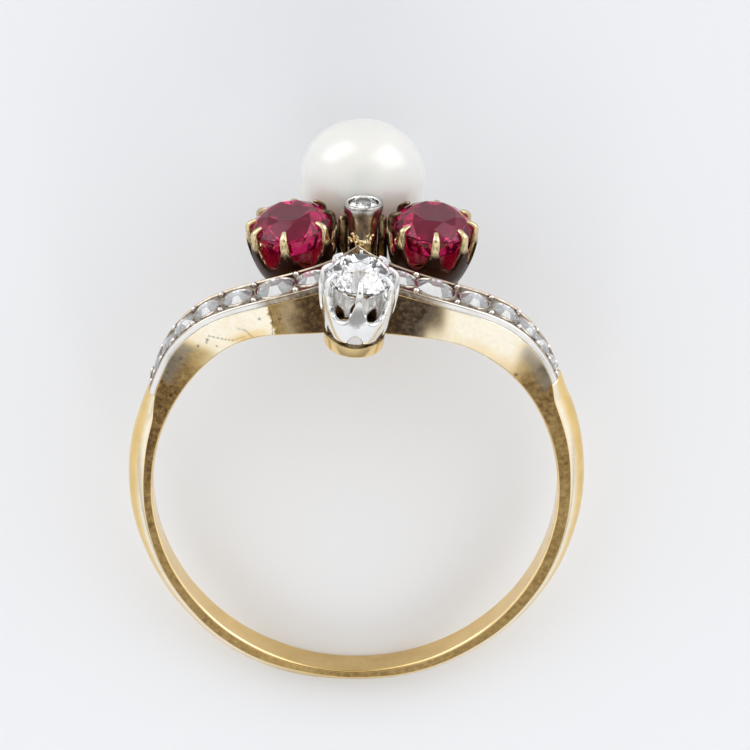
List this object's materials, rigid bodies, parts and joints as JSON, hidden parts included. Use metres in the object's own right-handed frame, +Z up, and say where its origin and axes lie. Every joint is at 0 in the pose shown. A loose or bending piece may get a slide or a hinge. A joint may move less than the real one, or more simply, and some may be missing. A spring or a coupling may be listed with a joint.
{
  "type": "pearl, ruby and diamond cluster ring",
  "caption": "Antique finger ring with a pearl, two rubies and two diamonds clustered behind a pointed diamond-set band, on a tapered gold hoop.",
  "frame": {"origin": "on the surface that the ring lies on, under the middle of its box", "axes": "+Z up from that surface, +Y from the bottom of the hoop to the head, +X across the finger; the ring lies on its side with the pearl below"},
  "size_m": [0.0193, 0.0239, 0.0125],
  "materials": {
    "gold": "polished and worn",
    "pale_gold": "polished and worn",
    "silver": "polished and tarnished",
    "diamond": "cut and polished",
    "ruby": "cut and polished",
    "pearl": "lustrous"
  },
  "bodies": {
    "root": {"shank": "gold", "shoulder_silver": "silver", "big_diamond": "diamond", "big_diamond_claws": "silver", "big_diamond_base_ring": "gold", "centre_diamond": "diamond", "centre_collet": "silver", "ruby_left": "ruby", "ruby_claws_left": "pale_gold", "ruby_right": "ruby", "ruby_claws_right": "pale_gold", "pearl": "pearl", "gallery": "gold", "shoulder_diamond_left_1": "diamond", "shoulder_diamond_left_2": "diamond", "shoulder_diamond_left_3": "diamond", "shoulder_diamond_left_4": "diamond", "shoulder_diamond_left_5": "diamond", "shoulder_diamond_left_6": "diamond", "shoulder_diamond_left_7": "diamond", "shoulder_diamond_right_1": "diamond", "shoulder_diamond_right_2": "diamond", "shoulder_diamond_right_3": "diamond", "shoulder_diamond_right_4": "diamond", "shoulder_diamond_right_5": "diamond", "shoulder_diamond_right_6": "diamond", "shoulder_diamond_right_7": "diamond"}
  },
  "joints": []
}
